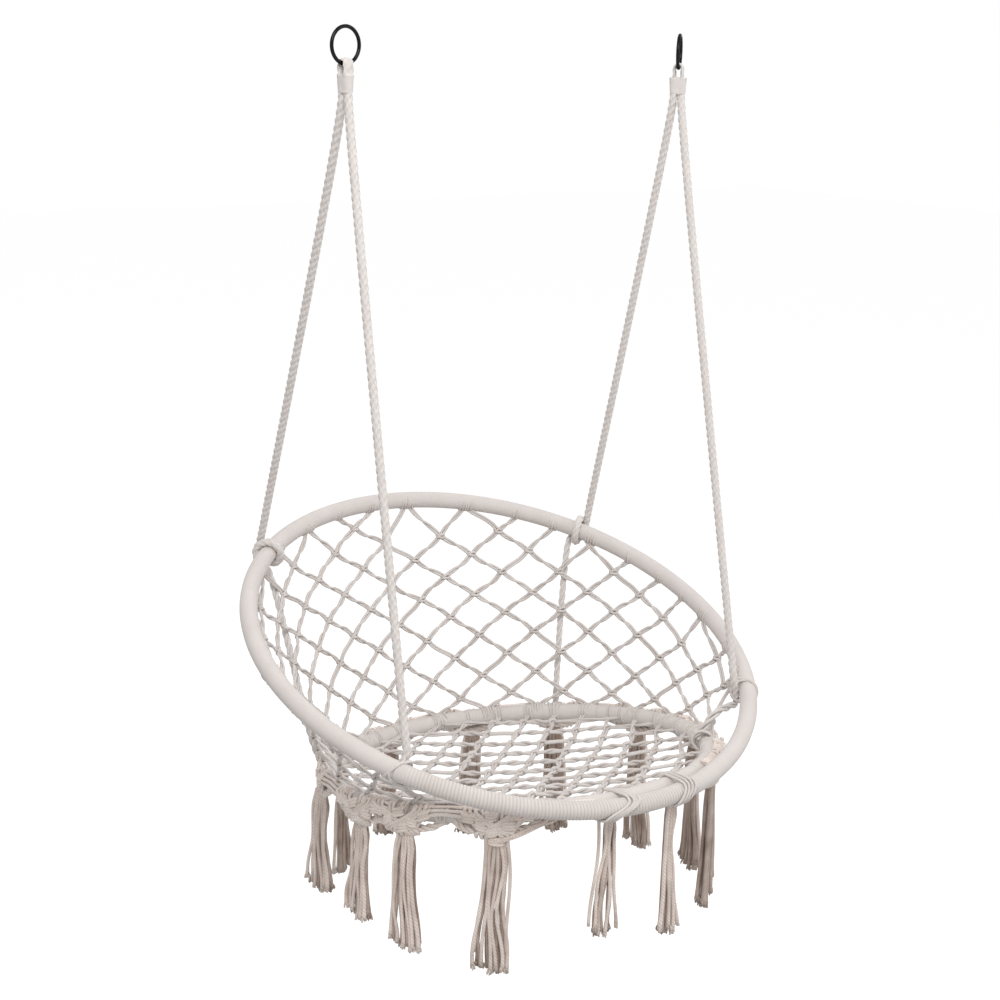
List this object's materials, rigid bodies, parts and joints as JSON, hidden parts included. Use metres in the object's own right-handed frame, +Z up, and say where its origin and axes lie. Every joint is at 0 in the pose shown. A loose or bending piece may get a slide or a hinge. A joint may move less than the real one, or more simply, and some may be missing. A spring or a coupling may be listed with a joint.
{
  "type": "hanging hammock chair",
  "caption": "Knotted cotton hanging chair: a large tilted hoop over a smaller seat hoop, joined by nets and hung by ropes from steel rings, with a tasselled skirt.",
  "frame": {"origin": "midway between the two places where the hanger rings rest on their hooks: on the line between the tops of the rings' bores", "axes": "+Z up; +X to the sitter's left, which is the right of the picture; -Y to the open front, +Y to the high back"},
  "size_m": [0.7996, 0.7537, 1.3276],
  "materials": {
    "natural_cotton": "soft off-white cotton cord",
    "dark_steel": "polished dark steel",
    "bare_steel": "bare drawn steel tube, hidden under the cord"
  },
  "bodies": {
    "hanger_rings": {"left_ring": "dark_steel", "right_ring": "dark_steel"},
    "upper_frame": {"back_net": "natural_cotton", "left_back_stay": "natural_cotton", "left_front_binding": "natural_cotton", "left_front_stay": "natural_cotton", "left_lashing": "natural_cotton", "left_rope": "natural_cotton", "left_whipping": "natural_cotton", "right_back_stay": "natural_cotton", "right_front_binding": "natural_cotton", "right_front_stay": "natural_cotton", "right_lashing": "natural_cotton", "right_rope": "natural_cotton", "right_whipping": "natural_cotton", "upper_hoop_spigot": "bare_steel", "upper_hoop_tube": "bare_steel", "upper_wrap_back": "natural_cotton", "upper_wrap_front": "natural_cotton", "upper_wrap_left": "natural_cotton", "upper_wrap_right": "natural_cotton"},
    "seat": {"seat_hoop_spigot": "bare_steel", "seat_hoop_tube": "bare_steel", "seat_net": "natural_cotton", "seat_wrap_back": "natural_cotton", "seat_wrap_front": "natural_cotton", "seat_wrap_left": "natural_cotton", "seat_wrap_right": "natural_cotton", "swag_01": "natural_cotton", "swag_02": "natural_cotton", "swag_03": "natural_cotton", "swag_04": "natural_cotton", "swag_05": "natural_cotton", "swag_06": "natural_cotton", "swag_07": "natural_cotton", "swag_08": "natural_cotton", "swag_09": "natural_cotton", "swag_12": "natural_cotton", "swag_13": "natural_cotton", "swag_14": "natural_cotton", "tassel_01": "natural_cotton", "tassel_02": "natural_cotton", "tassel_03": "natural_cotton", "tassel_04": "natural_cotton", "tassel_05": "natural_cotton", "tassel_06": "natural_cotton", "tassel_07": "natural_cotton", "tassel_08": "natural_cotton", "tassel_09": "natural_cotton", "tassel_10": "natural_cotton", "tassel_11": "natural_cotton", "tassel_12": "natural_cotton", "tassel_13": "natural_cotton", "tassel_14": "natural_cotton"}
  },
  "joints": [
    {"name": "swing", "type": "hinge", "parent": "hanger_rings", "child": "upper_frame", "pos_m": [0, 0, -0.0456], "axis": [1, 0, 0], "range_deg": [-30, 30]},
    {"name": "seat_fold", "type": "hinge", "parent": "upper_frame", "child": "seat", "pos_m": [0, -0.32351, -1.02613], "axis": [1, 0, 0], "range_deg": [0, 24], "deforming": ["back_net", "left_back_stay", "right_back_stay", "left_front_stay", "right_front_stay", "left_lashing", "right_lashing"]}
  ]
}
